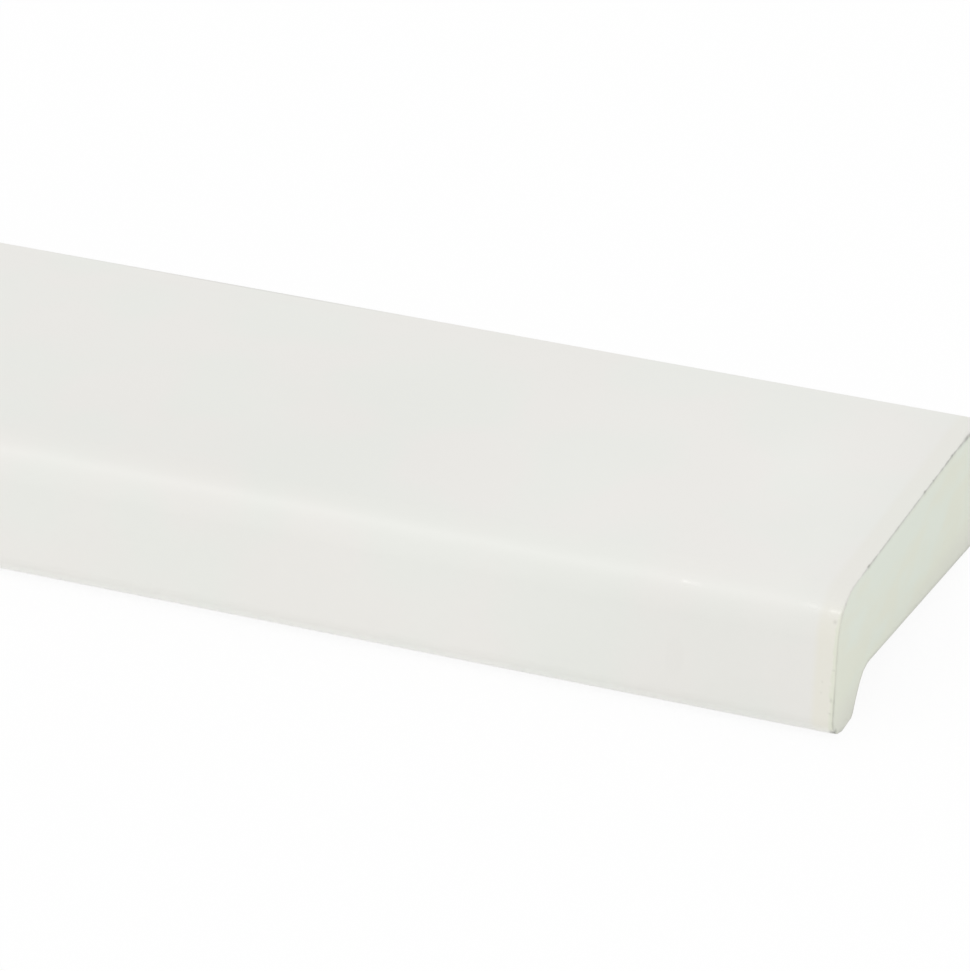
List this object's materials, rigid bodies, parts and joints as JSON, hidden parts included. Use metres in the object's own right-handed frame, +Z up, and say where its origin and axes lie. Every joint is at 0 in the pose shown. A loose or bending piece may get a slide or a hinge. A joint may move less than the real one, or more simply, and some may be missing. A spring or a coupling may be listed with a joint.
{
  "type": "glazing bead",
  "caption": "Primed timber glazing bead for a window's bottom edge: a straight moulding with a gently sloping top, a rounded nose and a drip lip under its front.",
  "frame": {"origin": "middle of the bead's bounding box, at the level of the floor it lies on", "axes": "+X along the length, +Y from the drip nose to the back face, +Z up. The bead lies on the heel of its lip and its back bottom edge, so its underside rises 6.4 degrees from the back edge to the lip"},
  "size_m": [2.7, 0.0578, 0.019],
  "materials": {
    "primed_timber": "off-white primer on planed timber, satin, over smooth long faces and sawn ends"
  },
  "bodies": {
    "root": {"glazing_bead": "primed_timber"}
  },
  "joints": []
}
